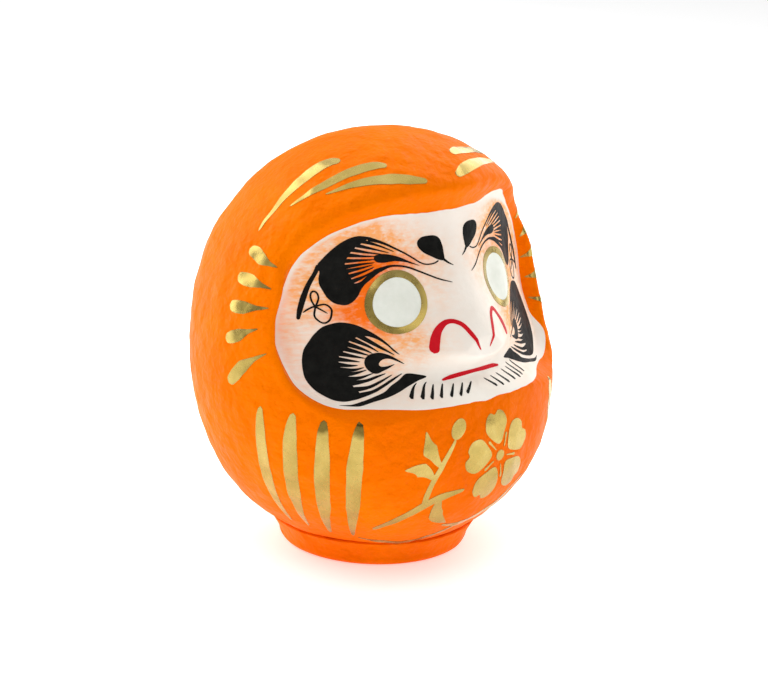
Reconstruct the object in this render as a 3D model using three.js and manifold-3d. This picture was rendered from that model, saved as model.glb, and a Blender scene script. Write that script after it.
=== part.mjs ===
// Daruma doll: a hollow papier-mache tumbler with a sunken face, standing on a weighted foot.
// Millimetres, +Z up. The doll looks along -Y and its left side is +X.
// The origin is the centre of the foot's underside.
import * as THREE from 'three';
import { mergeVertices } from 'three/addons/utils/BufferGeometryUtils.js';
import Module from 'manifold-3d';

const wasm = await Module();
wasm.setup();
const { degToRad, lerp, smoothstep } = THREE.MathUtils;

// Driving dimensions
const CENTRE_Z = 72;            // height of the point that the body's radius is measured from
const WALL = 3;                 // papier-mache thickness
const FIT_GAP = 0.3;            // clearance between glued pieces
const FOOT_HEIGHT = 10;
const FOOT_TOP_RADIUS = 35;
const FOOT_SOLE_RADIUS = 31.8;
const FOOT_BORE_RADIUS = 27;
const FOOT_EDGE_ROUND = 3;      // rounding of the foot's lower edge
const WEIGHT_SIDE_HEIGHT = 7;
const WEIGHT_DOME_HEIGHT = 6;
const COVER_THICKNESS = 1;
const STRIP_HALF_WIDTH = 5;
const STRIP_THICKNESS = 0.8;
const STRIP_GLUE_GAP = 0.8;     // the strip is flat across the join, so it stands off the curved wall

// Face opening, seen from the front
const FACE_HALF_WIDTH = 59.3;   // at FACE_WIDEST_Z
const FACE_WIDEST_Z = 82;
const FACE_SIDE_BOW = 105;      // larger is straighter
const FACE_TOP_Z = 125.4;
const FACE_CHIN_Z = 64.1;
const FACE_TOP_ROUND = 16;
const FACE_CHIN_ROUND = 10;
const RIM_WIDTH = 5;            // from the sunken face out to the rim's crest
const BROW_RIM_EXTRA = 9;       // the hood rolls over more slowly above the brows
const FACE_TILT = degToRad(24); // latitude of the middle of the face
const RING_SPACING = degToRad(1.2); // least angle between two rings of the rim

const FOOT_SEGMENTS = 64;
const EDGE_ROUND_SEGMENTS = 5;
const DOME_SEGMENTS = 5;

// Radius of the closed, uncarved body. theta turns from the front towards +X, phi is the latitude.
function envelopeRadius(theta, phi) {
  const s = Math.sin(phi);
  const c2 = Math.cos(2 * phi);
  const s3 = Math.sin(3 * phi);
  const mean = 69.1 + s - 5.7 * c2 - 0.8 * s3 - 1.2 * Math.cos(4 * phi) - 0.2 * Math.sin(5 * phi);
  const lean = -0.8 - 2.7 * c2 - 2.4 * s3;
  const oval = -2.9 - 1.3 * s - 3 * c2;
  return mean + Math.cos(phi) ** 2 * (lean * Math.cos(theta) + oval * Math.cos(2 * theta));
}

// Intersection of two signed distances with a corner of the given radius
function roundedMax(a, b, radius) {
  const corner = Math.hypot(Math.max(a + radius, 0), Math.max(b + radius, 0));
  return Math.min(-radius, Math.max(a, b)) + corner;
}

// Signed distance from the face's outline in the front view: negative on the face
function faceEdge(x, z) {
  const across = Math.abs(x);
  const rise = z - FACE_WIDEST_Z;
  const slope = 2 * rise / FACE_SIDE_BOW;
  const side = (across - FACE_HALF_WIDTH + rise ** 2 / FACE_SIDE_BOW) / Math.hypot(1, slope);
  const top = z - FACE_TOP_Z + 3 * (across / 70) ** 4;
  const chin = FACE_CHIN_Z - z;
  return roundedMax(roundedMax(side, top, FACE_TOP_ROUND), chin, FACE_CHIN_ROUND);
}

// Y of the sunken face: hollow cheeks turned towards the front, with a low nose in the middle
function faceY(x, z) {
  const t = (z - 95) / 30;
  const middle = -35 + 9.6 * t - 5.9 * t * t;
  const turn = 0.81 - 0.06 * t + 0.07 * t * t;
  const cheeks = turn * (Math.hypot(x, 42) - 42);
  const noseTip = 82;
  const noseLength = z > noseTip ? 27 : 6;
  const nose = 13 * Math.exp(-((x / 23) ** 2) - ((z - noseTip) / noseLength) ** 2);
  const pastEye = Math.abs(x) - 24;
  const eyeTurn = 0.5 * pastEye * Math.exp(-((pastEye / 10) ** 2) - ((z - 97) / 11) ** 2);
  const hollowSide = 1.6 * smoothstep(Math.abs(x), 44, 58) * Math.exp(-(((z - 86) / 10) ** 2));
  return middle + cheeks - nose - eyeTurn + hollowSide;
}

// A point of the body's surface, moved inwards by inset
function skinPoint(theta, phi, inset) {
  const radius = envelopeRadius(theta, phi) - inset;
  const x = radius * Math.cos(phi) * Math.sin(theta);
  const y = -radius * Math.cos(phi) * Math.cos(theta);
  const z = CENTRE_Z + radius * Math.sin(phi);
  if (y >= 0) {
    return new THREE.Vector3(x, y, z);
  }
  const edge = faceEdge(x, z) - inset;
  const corner = 0.74 * smoothstep(Math.abs(x), 18, 42);
  const aboveChin = 1 - (1 - smoothstep(z, 66, 84)) * (1 - corner);
  const brow = smoothstep(z, 100, 122);
  const inner = lerp(-8, -0.5, aboveChin);
  const crest = lerp(1, RIM_WIDTH + BROW_RIM_EXTRA * brow, aboveChin);
  const sunk = (1 - smoothstep(edge, inner, crest)) * smoothstep(-y, 8, 14);
  return new THREE.Vector3(x, lerp(y, Math.max(faceY(x, z) + inset, y), sunk), z);
}

function indexedGeometry(points, triangles) {
  const geometry = new THREE.BufferGeometry();
  geometry.setAttribute('position', new THREE.Float32BufferAttribute(points.flatMap((p) => p.toArray()), 3));
  geometry.setIndex(triangles);
  return geometry;
}

function toManifold(geometry) {
  const bare = geometry.clone();
  bare.deleteAttribute('normal');
  bare.deleteAttribute('uv');
  const merged = mergeVertices(bare, 1e-4);
  return new wasm.Manifold(new wasm.Mesh({
    numProp: 3,
    vertProperties: new Float32Array(merged.attributes.position.array),
    triVerts: new Uint32Array(merged.index.array),
  }));
}

function fromManifold(solid) {
  const mesh = solid.getMesh();
  const geometry = new THREE.BufferGeometry();
  geometry.setAttribute('position', new THREE.BufferAttribute(mesh.vertProperties, 3));
  geometry.setIndex(new THREE.BufferAttribute(mesh.triVerts, 1));
  return geometry;
}

// Direction from the body's centre, at an angle away from the middle of the face and a turn about it
function faceDirection(turn, away) {
  const ahead = new THREE.Vector3(0, -Math.cos(FACE_TILT), Math.sin(FACE_TILT));
  const up = new THREE.Vector3(0, Math.sin(FACE_TILT), Math.cos(FACE_TILT));
  const sideways = new THREE.Vector3(Math.sin(turn), 0, 0).addScaledVector(up, Math.cos(turn));
  return ahead.multiplyScalar(Math.cos(away)).addScaledVector(sideways, Math.sin(away));
}

function toAngles(direction) {
  const theta = Math.atan2(direction.x, -direction.y);
  const phi = Math.atan2(direction.z, Math.hypot(direction.x, direction.y));
  return [theta, phi];
}

// How far round from the middle of the face a signed distance from its outline is met, up to a limit
function angleAtEdge(turn, level, inset, limit) {
  let low = 0;
  let high = limit;
  for (let i = 0; i < 30; i += 1) {
    const middle = (low + high) / 2;
    const direction = faceDirection(turn, middle);
    const radius = envelopeRadius(...toAngles(direction)) - inset;
    const edge = faceEdge(direction.x * radius, CENTRE_Z + direction.z * radius) - inset;
    if (edge < level) {
      low = middle;
    } else {
      high = middle;
    }
  }
  return (low + high) / 2;
}

// A closed body surface of rings about the middle of the face. The rings in levels follow the
// face's outline, hoodRings lead from there to the join's plane, and backRings on to the back.
function skinSolid(inset, columns, faceRings, levels, hoodRings, backRings) {
  const rings = faceRings + levels.length + hoodRings + backRings - 1;
  const points = [skinPoint(...toAngles(faceDirection(0, 0)), inset)];
  for (let i = 0; i < columns; i += 1) {
    const turn = 2 * Math.PI * i / columns;
    const join = Math.atan2(Math.cos(FACE_TILT), Math.sin(FACE_TILT) * Math.cos(turn));
    const edges = levels.map((level, k) => {
      const limit = join - (hoodRings + levels.length - 1 - k) * RING_SPACING;
      return angleAtEdge(turn, level, inset, limit);
    });
    const last = edges[edges.length - 1];
    const angles = [];
    for (let k = 1; k <= faceRings; k += 1) {
      angles.push(edges[0] * k / (faceRings + 1));
    }
    angles.push(...edges);
    for (let k = 1; k <= hoodRings; k += 1) {
      angles.push(lerp(last, join, k / hoodRings));
    }
    for (let k = 1; k < backRings; k += 1) {
      angles.push(lerp(join, Math.PI, k / backRings));
    }
    angles.forEach((away) => points.push(skinPoint(...toAngles(faceDirection(turn, away)), inset)));
  }
  const backPole = points.push(skinPoint(...toAngles(faceDirection(0, Math.PI)), inset)) - 1;
  const at = (i, k) => 1 + (i % columns) * rings + k;
  const triangles = [];
  for (let i = 0; i < columns; i += 1) {
    triangles.push(0, at(i + 1, 0), at(i, 0));
    for (let k = 0; k < rings - 1; k += 1) {
      triangles.push(at(i, k), at(i + 1, k + 1), at(i, k + 1));
      triangles.push(at(i, k), at(i + 1, k), at(i + 1, k + 1));
    }
    triangles.push(at(i, rings - 1), at(i + 1, rings - 1), backPole);
  }
  return toManifold(indexedGeometry(points, triangles));
}

// Half of the body above the foot: side is -1 for the front half and 1 for the back half
function shellHalf(body, side) {
  const size = 200;
  const box = new THREE.BoxGeometry(size, size, size);
  box.translate(0, side * (size + FIT_GAP) / 2, FOOT_HEIGHT + FIT_GAP + size / 2);
  return fromManifold(body.intersect(toManifold(box)));
}

// A paper strip glued inside the join, from one angle to another in the join's plane.
// The angle is 0 at the doll's left side and 90 at its crown.
function seamStrip(startDegrees, endDegrees, steps) {
  const corner = (angle, side, inset) => {
    const direction = new THREE.Vector3(Math.cos(angle), 0, Math.sin(angle)).multiplyScalar(CENTRE_Z);
    direction.y = side * STRIP_HALF_WIDTH;
    return skinPoint(...toAngles(direction), inset);
  };
  const outer = WALL + STRIP_GLUE_GAP;
  const inner = outer + STRIP_THICKNESS;
  const points = [];
  for (let i = 0; i <= steps; i += 1) {
    const angle = degToRad(lerp(startDegrees, endDegrees, i / steps));
    points.push(corner(angle, 1, outer), corner(angle, -1, outer));
    points.push(corner(angle, -1, inner), corner(angle, 1, inner));
  }
  const triangles = [0, 1, 2, 0, 2, 3];
  for (let i = 0; i < steps; i += 1) {
    for (let k = 0; k < 4; k += 1) {
      const a = 4 * i + k;
      const b = 4 * i + (k + 1) % 4;
      triangles.push(a, a + 4, b + 4, a, b + 4, b);
    }
  }
  const end = 4 * steps;
  triangles.push(end, end + 2, end + 1, end, end + 3, end + 2);
  return indexedGeometry(points, triangles);
}

// A solid of revolution about Z from a closed profile of [radius, z] points
function turned(profile) {
  const points = profile.map(([radius, z]) => new THREE.Vector2(radius, z));
  return new THREE.LatheGeometry(points, FOOT_SEGMENTS).rotateX(Math.PI / 2);
}

function footRing() {
  const profile = [[FOOT_BORE_RADIUS, 0]];
  for (let i = 0; i <= EDGE_ROUND_SEGMENTS; i += 1) {
    const angle = Math.PI / 2 * i / EDGE_ROUND_SEGMENTS;
    const radius = FOOT_SOLE_RADIUS + FOOT_EDGE_ROUND * (Math.sin(angle) - 1);
    profile.push([radius, FOOT_EDGE_ROUND * (1 - Math.cos(angle))]);
  }
  profile.push([FOOT_TOP_RADIUS, FOOT_HEIGHT - 1]);
  profile.push([FOOT_TOP_RADIUS - 1, FOOT_HEIGHT]);
  profile.push([FOOT_BORE_RADIUS, FOOT_HEIGHT]);
  profile.push([FOOT_BORE_RADIUS, 0]);
  return turned(profile);
}

function weightDisc() {
  const radius = FOOT_BORE_RADIUS - FIT_GAP;
  const base = COVER_THICKNESS + FIT_GAP;
  const profile = [[0, base], [radius, base]];
  for (let i = 0; i < DOME_SEGMENTS; i += 1) {
    const angle = Math.PI / 2 * i / DOME_SEGMENTS;
    const height = base + WEIGHT_SIDE_HEIGHT + WEIGHT_DOME_HEIGHT * Math.sin(angle);
    profile.push([radius * Math.cos(angle), height]);
  }
  profile.push([0, base + WEIGHT_SIDE_HEIGHT + WEIGHT_DOME_HEIGHT]);
  return turned(profile);
}

function bottomCover() {
  const radius = FOOT_BORE_RADIUS - FIT_GAP;
  return turned([[0, 0], [radius, 0], [radius, COVER_THICKNESS], [0, COVER_THICKNESS]]);
}

const orangePaint = { color: 0xf5700a, roughness: 0.42, metalness: 0 };
const paper = { color: 0xcfc4ac, roughness: 0.9, metalness: 0 };
const clay = { color: 0x9a8468, roughness: 0.95, metalness: 0 };

const group = new THREE.Group();

function addPiece(name, geometry, finish) {
  const mesh = new THREE.Mesh(geometry, new THREE.MeshStandardMaterial(finish));
  mesh.name = name;
  group.add(mesh);
}

// Each ring of these follows the face's outline at a signed distance from it
const outerLevels = [-8, -5, -2.5, -0.5, 1, 2.25, 3.5, 5];
const innerLevels = [-5, -1, 2, 5];
const outside = skinSolid(0, 56, 7, outerLevels, 8, 11);
const hollow = skinSolid(WALL, 44, 4, innerLevels, 4, 9);
const body = outside.subtract(hollow);
addPiece('front_shell', shellHalf(body, -1), orangePaint);
addPiece('back_shell', shellHalf(body, 1), orangePaint);
addPiece('seam_strip_left', seamStrip(-42, 38, 16), paper);
addPiece('seam_strip_crown', seamStrip(42, 138, 20), paper);
addPiece('seam_strip_right', seamStrip(142, 222, 16), paper);
addPiece('foot_ring', footRing(), orangePaint);
addPiece('weight_disc', weightDisc(), clay);
addPiece('bottom_cover', bottomCover(), paper);

export default group;
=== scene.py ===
"""Daruma doll: hand-made papier-mache shells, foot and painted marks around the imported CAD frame.

Lengths in this script are millimetres in the frame's own axes, +Z up, the doll looking along -Y.
They become metres in build_mesh and place_camera.
"""
import math

import bmesh
import bpy
import numpy as np
from mathutils import Matrix, Vector
from mathutils.geometry import delaunay_2d_cdt


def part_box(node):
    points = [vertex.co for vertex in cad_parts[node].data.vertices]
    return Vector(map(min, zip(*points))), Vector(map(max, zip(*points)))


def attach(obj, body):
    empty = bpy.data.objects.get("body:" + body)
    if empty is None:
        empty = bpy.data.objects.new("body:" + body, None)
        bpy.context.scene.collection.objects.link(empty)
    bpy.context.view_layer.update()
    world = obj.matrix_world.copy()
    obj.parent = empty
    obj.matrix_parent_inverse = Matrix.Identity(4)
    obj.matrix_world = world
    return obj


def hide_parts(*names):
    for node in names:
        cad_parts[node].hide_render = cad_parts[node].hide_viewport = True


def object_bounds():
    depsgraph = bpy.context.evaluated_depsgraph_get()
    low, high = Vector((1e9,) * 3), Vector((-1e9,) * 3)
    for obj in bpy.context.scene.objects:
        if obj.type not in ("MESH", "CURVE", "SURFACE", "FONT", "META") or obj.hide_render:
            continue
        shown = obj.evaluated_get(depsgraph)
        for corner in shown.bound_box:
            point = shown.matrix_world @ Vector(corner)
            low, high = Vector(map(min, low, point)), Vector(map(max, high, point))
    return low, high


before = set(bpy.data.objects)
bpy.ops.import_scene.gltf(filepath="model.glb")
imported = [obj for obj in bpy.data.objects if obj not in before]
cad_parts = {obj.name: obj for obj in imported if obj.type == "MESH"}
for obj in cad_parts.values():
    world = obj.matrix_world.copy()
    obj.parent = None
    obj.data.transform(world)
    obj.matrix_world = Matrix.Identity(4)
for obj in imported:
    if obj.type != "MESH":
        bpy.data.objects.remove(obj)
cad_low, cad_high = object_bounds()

MM = 0.001

# ---------------------------------------------------------------- places taken from the frame

foot_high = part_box("foot_ring")[1]
cover_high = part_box("bottom_cover")[1]
FOOT_SPREAD = 1.6                     # the foot's paper stands this far outside the plain ring
FOOT_TOP_RADIUS = foot_high[0] / MM + FOOT_SPREAD
FOOT_HEIGHT = foot_high[2] / MM
COVER_RADIUS = cover_high[0] / MM
COVER_THICKNESS = cover_high[2] / MM
SHELL_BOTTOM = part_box("front_shell")[0][2] / MM
BODY_HEIGHT = cad_high[2] / MM

# ---------------------------------------------------------------- the body's surface

CENTRE = np.array([0.0, 0.0, 72.0])   # the body's radius is measured from here
WALL = 3.0
FACE_MIDDLE_Z = 95.0
FACE_TILT = math.radians(24)          # latitude of the middle of the face
FACE_HALF_WIDTH = 59.3                # at FACE_WIDEST_Z
FACE_WIDEST_Z = 82
FACE_SIDE_BOW = 105                   # larger is straighter
FACE_TOP_Z = 125.4
FACE_CHIN_Z = 64.1
FACE_TOP_ROUND = 16
FACE_CHIN_ROUND = 10
RIM_WIDTH = 5                         # from the sunken face out to the rim's crest
BROW_RIM_EXTRA = 9                    # the hood rolls over more slowly above the brows
FOOT_LEAN = 3.2                       # how much wider the foot is at its top than at its sole
FOOT_EDGE_ROUND = 3.0
PAPER_SEED = 11
PANEL_SINK = 0.4                      # the shell stands this far under the face paint


def smoothstep(low, high, value):
    t = np.clip((value - low) / (high - low), 0, 1)
    return t * t * (3 - 2 * t)


def envelope_radius(theta, phi):
    """Radius of the closed, uncarved body. theta turns from the front towards +X, phi is the latitude."""
    s = np.sin(phi)
    c2 = np.cos(2 * phi)
    s3 = np.sin(3 * phi)
    mean = 69.1 + s - 5.7 * c2 - 0.8 * s3 - 1.2 * np.cos(4 * phi) - 0.2 * np.sin(5 * phi)
    lean = -0.8 - 2.7 * c2 - 2.4 * s3
    oval = -2.9 - 1.3 * s - 3 * c2
    return mean + np.cos(phi) ** 2 * (lean * np.cos(theta) + oval * np.cos(2 * theta))


def rounded_max(a, b, radius):
    """Intersection of two signed distances with a rounded corner."""
    corner = np.hypot(np.maximum(a + radius, 0), np.maximum(b + radius, 0))
    return np.minimum(-radius, np.maximum(a, b)) + corner


def face_edge(x, z):
    """Signed distance from the face's outline in the front view, negative on the face."""
    across = np.abs(x)
    rise = z - FACE_WIDEST_Z
    bowed_in = rise ** 2 / FACE_SIDE_BOW
    side = (across - FACE_HALF_WIDTH + bowed_in) / np.hypot(1, 2 * rise / FACE_SIDE_BOW)
    top = z - FACE_TOP_Z + 3 * (across / 70) ** 4
    return rounded_max(rounded_max(side, top, FACE_TOP_ROUND), FACE_CHIN_Z - z, FACE_CHIN_ROUND)


def face_y(x, z):
    """Y of the sunken face: hollow cheeks turned to the front and a low nose."""
    t = (z - FACE_MIDDLE_Z) / 30
    middle = -35 + 9.6 * t - 5.9 * t * t
    cheeks = (0.81 - 0.06 * t + 0.07 * t * t) * (np.hypot(x, 42) - 42)
    nose_length = np.where(z > 82, 27, 6)
    nose = 13 * np.exp(-(x / 23) ** 2 - ((z - 82) / nose_length) ** 2)
    past_eye = np.abs(x) - 24
    eye_turn = 0.5 * past_eye * np.exp(-(past_eye / 10) ** 2 - ((z - 97) / 11) ** 2)
    hollow_side = 1.6 * smoothstep(44, 58, np.abs(x)) * np.exp(-((z - 86) / 10) ** 2)
    return middle + cheeks - nose - eye_turn + hollow_side


def bisect(low, high, short_of, steps=30):
    """Halves the spans from low to high down to where short_of stops being true."""
    for _ in range(steps):
        middle = (low + high) / 2
        short = short_of(middle)
        low = np.where(short, middle, low)
        high = np.where(short, high, middle)
    return (low + high) / 2


def unit(vectors):
    return vectors / np.linalg.norm(vectors, axis=-1, keepdims=True)


def to_direction(theta, phi):
    return np.stack([np.cos(phi) * np.sin(theta), -np.cos(phi) * np.cos(theta), np.sin(phi)], -1)


def skin(directions, inset=0.0):
    """Points of the smooth body in the given unit directions from its centre."""
    theta = np.arctan2(directions[..., 0], -directions[..., 1])
    phi = np.arcsin(np.clip(directions[..., 2], -1, 1))
    points = CENTRE + directions * (envelope_radius(theta, phi) - inset)[..., None]
    x, y, z = points[..., 0], points[..., 1], points[..., 2]
    corner = 0.74 * smoothstep(18, 42, np.abs(x))
    above_chin = 1 - (1 - smoothstep(66, 84, z)) * (1 - corner)
    brow = smoothstep(100, 122, z)
    inner = -8 + 7.5 * above_chin
    crest = 1 + (RIM_WIDTH - 1 + BROW_RIM_EXTRA * brow) * above_chin
    edge = face_edge(x, z) - inset
    sunk = (1 - smoothstep(inner, crest, edge)) * smoothstep(8, 14, -y)
    points[..., 1] = y + (np.maximum(face_y(x, z) + inset, y) - y) * sunk
    return points


def waves(points, wavelength, seed, count=18):
    """Smooth random unevenness, about -1 to 1, made of plane waves of one wavelength."""
    random = np.random.RandomState(seed)
    axes = unit(random.normal(size=(count, 3))) * (2 * math.pi / wavelength)
    phases = random.uniform(0, 2 * math.pi, count)
    total = np.zeros(points.shape[:-1])
    for axis, phase in zip(axes, phases):
        total += np.sin(points @ axis + phase)
    return total / math.sqrt(count)


def unevenness(points):
    """How far the hand-laid paper stands off the smooth form."""
    on_face = 1 - smoothstep(-3, 3, face_edge(points[..., 0], points[..., 2]))
    on_face = on_face * smoothstep(4, 12, -points[..., 1])
    lumps = 0.32 * waves(points, 46, PAPER_SEED) + 0.10 * waves(points, 19, PAPER_SEED + 1)
    dents = 0.12 * waves(points, 9.0, PAPER_SEED + 2) + 0.05 * waves(points, 4.6, PAPER_SEED + 4)
    around = np.arctan2(points[..., 0], -points[..., 1])
    radius = np.hypot(points[..., 0], points[..., 1])
    drawn_out = np.stack([around * np.minimum(radius, 30) / 5, points[..., 2], radius], -1)
    wrinkles = 0.07 * waves(drawn_out, 5.0, PAPER_SEED + 3) * smoothstep(98, 125, points[..., 2])
    return (lumps + dents) * (1 - 0.75 * on_face) + wrinkles * (1 - on_face)


def surface(directions, lift=0.0, inset=0.0):
    """Points of the uneven body, lifted off it along its own normal."""
    directions = unit(directions)
    helper = np.where(np.abs(directions[..., 2:3]) < 0.9, [0.0, 0.0, 1.0], [0.0, 1.0, 0.0])
    first = unit(np.cross(helper, directions))
    second = np.cross(directions, first)
    step = 0.004
    base = skin(directions, inset)
    along = skin(unit(directions + step * first), inset) - base
    across = skin(unit(directions + step * second), inset) - base
    normal = unit(np.cross(along, across))
    height = unevenness(base) if inset == 0 else 0.0
    return base + normal * np.asarray(height + lift)[..., None]


def from_front(x, z):
    """Directions that meet the body at a place in the front view."""
    x, z = np.broadcast_arrays(np.asarray(x, float), np.asarray(z, float))
    rise = z - CENTRE[2]

    def outside(y):
        phi = np.arctan2(rise, np.hypot(x, y))
        return np.linalg.norm(np.stack([x, y, rise]), axis=0) > envelope_radius(np.arctan2(x, -y), phi)

    y = bisect(np.full(x.shape, -80.0), np.zeros(x.shape), outside, 32)
    return unit(np.stack([x, y, rise], -1))


def from_angles(theta, phi):
    """Directions from degrees round from the front and degrees of latitude."""
    return to_direction(np.radians(theta), np.radians(phi))


# ---------------------------------------------------------------- mesh helpers

def build_mesh(name, points, faces, sharp_angle=None):
    """A new object from points in millimetres."""
    mesh = bpy.data.meshes.new(name)
    mesh.from_pydata((np.asarray(points) * MM).tolist(), [], [list(map(int, face)) for face in faces])
    mesh.validate()
    mesh.shade_smooth()
    if sharp_angle is not None:
        mesh.set_sharp_from_angle(angle=math.radians(sharp_angle))
    piece = bpy.data.objects.new(name, mesh)
    bpy.context.scene.collection.objects.link(piece)
    return piece


def finish_mesh(mesh, piece, sharp_angle):
    """Puts an edited mesh back into its piece, its faces turned outwards."""
    bmesh.ops.recalc_face_normals(mesh, faces=mesh.faces[:])
    mesh.to_mesh(piece.data)
    mesh.free()
    piece.data.shade_smooth()
    piece.data.set_sharp_from_angle(angle=math.radians(sharp_angle))


def grid_faces(rows, columns, closed=False, flip=False):
    """Quads of a rows by columns grid of points, closed round the columns if asked."""
    across = np.arange(columns if closed else columns - 1)
    i, j = np.meshgrid(np.arange(rows - 1), across, indexing="ij")
    this_row = i * columns
    after = (j + 1) % columns
    corners = [this_row + j, this_row + after, this_row + columns + after, this_row + columns + j]
    quads = np.stack(corners, -1).reshape(-1, 4)
    return quads[:, ::-1] if flip else quads


def finish_piece(piece, material, replaces=()):
    piece.data.materials.append(material)
    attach(piece, "root")
    if replaces:
        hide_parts(*replaces)
    return piece


# ---------------------------------------------------------------- the two shells

COLUMNS = 336
FACE_RINGS = 54
RIM_LEVELS = np.concatenate([np.linspace(-8, -1, 7), np.linspace(-0.5, 5.2, 14)])
HOOD_RINGS = 42
BACK_RINGS = 56
LEAST_RING_ANGLE = math.radians(0.22)


def face_direction(turn, away):
    """Direction at an angle away from the middle of the face, turned about it from straight up."""
    ahead = np.array([0, -math.cos(FACE_TILT), math.sin(FACE_TILT)])
    up = np.array([0, math.sin(FACE_TILT), math.cos(FACE_TILT)])
    sideways = np.sin(turn)[..., None] * np.array([1.0, 0, 0]) + np.cos(turn)[..., None] * up
    return np.cos(away)[..., None] * ahead + np.sin(away)[..., None] * sideways


def angle_at_edge(turn, level, inset, limit):
    """How far from the middle of the face a signed distance from its outline is met."""
    def inside(away):
        direction = face_direction(turn, away)
        theta = np.arctan2(direction[:, 0], -direction[:, 1])
        radius = envelope_radius(theta, np.arcsin(direction[:, 2])) - inset
        points = direction * radius[:, None] + CENTRE
        return face_edge(points[:, 0], points[:, 2]) - inset < level

    return bisect(np.zeros_like(turn), limit, inside)


def ring_angles(inset):
    """Angle from the middle of the face of every ring, for each column, and the ring of the join."""
    turn = np.linspace(0, 2 * math.pi, COLUMNS, endpoint=False)
    join = np.arctan2(math.cos(FACE_TILT), math.sin(FACE_TILT) * np.cos(turn))
    rim = []
    for k, level in enumerate(RIM_LEVELS):
        spare = (HOOD_RINGS + len(RIM_LEVELS) - 1 - k) * LEAST_RING_ANGLE
        rim.append(angle_at_edge(turn, level, inset, join - spare))
    face = [rim[0] * k / (FACE_RINGS + 1) for k in range(1, FACE_RINGS + 1)]
    hood = [rim[-1] + (join - rim[-1]) * k / HOOD_RINGS for k in range(1, HOOD_RINGS + 1)]
    back = [join + (math.pi - join) * k / BACK_RINGS for k in range(1, BACK_RINGS)]
    return turn, face + rim + hood, [hood[-1]] + back


def half_shell(name, front):
    """One papier-mache half with its real thickness, cut off flat above the foot."""
    layers = []
    for inset in (0.0, WALL):
        turn, front_rings, back_rings = ring_angles(inset)
        rings = front_rings if front else back_rings
        directions = np.stack([face_direction(turn, away) for away in rings])
        pole = face_direction(np.zeros(1), np.full(1, 0.0 if front else math.pi))
        sink = pole_sink = 0.0
        if front and inset == 0:
            smooth = skin(directions)
            sink = PANEL_SINK * smoothstep(0.8, 2.6, -face_edge(smooth[..., 0], smooth[..., 2]))
            pole_sink = PANEL_SINK
        layers.append((surface(directions, -sink, inset), surface(pole, -pole_sink, inset)))
    rings = layers[0][0].shape[0]
    count = rings * COLUMNS
    points = np.concatenate([part for grid, pole in layers for part in (grid.reshape(-1, 3), pole)])
    faces = []
    for layer in range(2):
        start = layer * (count + 1)
        outwards = (layer == 0)
        quads = grid_faces(rings, COLUMNS, closed=True, flip=outwards)
        faces.extend((quads + start).tolist())
        pole_index = start + count
        row = start if front else start + count - COLUMNS
        for j in range(COLUMNS):
            triangle = [row + j, row + (j + 1) % COLUMNS, pole_index]
            faces.append(triangle if front != outwards else triangle[::-1])
    outer_edge = (rings - 1) * COLUMNS if front else 0
    inner_edge = outer_edge + count + 1
    for j in range(COLUMNS):
        k = (j + 1) % COLUMNS
        quad = [outer_edge + j, outer_edge + k, inner_edge + k, inner_edge + j]
        faces.append(quad if front else quad[::-1])
    piece = build_mesh(name, points, faces)
    cut_flat(piece, SHELL_BOTTOM)
    return piece


def cut_flat(piece, height):
    """Cuts a closed mesh off below a height and closes the cut."""
    mesh = bmesh.new()
    mesh.from_mesh(piece.data)
    everything = mesh.verts[:] + mesh.edges[:] + mesh.faces[:]
    cut = bmesh.ops.bisect_plane(
        mesh, geom=everything, dist=1e-7, clear_inner=True, plane_co=(0, 0, height * MM),
        plane_no=(0, 0, 1))
    edges = [item for item in cut["geom_cut"] if isinstance(item, bmesh.types.BMEdge)]
    bmesh.ops.triangle_fill(mesh, use_beauty=True, edges=edges)
    finish_mesh(mesh, piece, 50)


# ---------------------------------------------------------------- foot and underside

def turned(profile, segments, wobble):
    """A closed solid of revolution from [radius, height] points, with hand-made unevenness."""
    profile = np.array(profile, float)
    angles = np.linspace(0, 2 * math.pi, segments, endpoint=False)
    radius = profile[:, 0][:, None]
    grid = np.stack([
        radius * np.cos(angles), radius * np.sin(angles),
        np.broadcast_to(profile[:, 1][:, None], (len(profile), segments))], -1)
    outwards = unit(grid * [1, 1, 0] + [1e-9, 0, 0])
    amount = wobble * waves(grid, 15, PAPER_SEED + 5) * smoothstep(0, 2, grid[..., 2])
    amount = amount * smoothstep(FOOT_HEIGHT + 0.1, FOOT_HEIGHT - 1.5, grid[..., 2])
    points = (grid + outwards * amount[..., None]).reshape(-1, 3)
    return points, grid_faces(len(profile) + 1, segments, closed=True) % len(points)


def foot_piece():
    """The foot: a thick ring that leans out upwards, with a soft lower edge."""
    sole_radius = FOOT_TOP_RADIUS - FOOT_LEAN
    bore_radius = COVER_RADIUS + 0.3
    flat_radius = sole_radius - FOOT_EDGE_ROUND - 0.4
    profile = [[bore_radius, FOOT_HEIGHT], [bore_radius, FOOT_HEIGHT / 2], [bore_radius, 0.0]]
    profile += [[radius, 0.0] for radius in np.linspace(bore_radius + 0.6, flat_radius, 3)]
    for angle in np.linspace(0, math.pi / 2, 9):
        radius = sole_radius + FOOT_EDGE_ROUND * (math.sin(angle) - 1)
        profile.append([radius, FOOT_EDGE_ROUND * (1 - math.cos(angle))])
    for t in np.linspace(0.15, 1, 9):
        height = FOOT_EDGE_ROUND + (FOOT_HEIGHT - 0.6 - FOOT_EDGE_ROUND) * t
        profile.append([sole_radius + FOOT_LEAN * t ** 1.2, height])
    profile += [[FOOT_TOP_RADIUS - 0.3, FOOT_HEIGHT - 0.15], [FOOT_TOP_RADIUS - 0.8, FOOT_HEIGHT]]
    inwards = np.linspace(FOOT_TOP_RADIUS - 2, bore_radius + 1, 4)
    profile += [[radius, FOOT_HEIGHT] for radius in inwards]
    points, faces = turned(profile, 240, 0.18)
    return build_mesh("foot_paper_ring", points, faces, sharp_angle=60)


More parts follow.
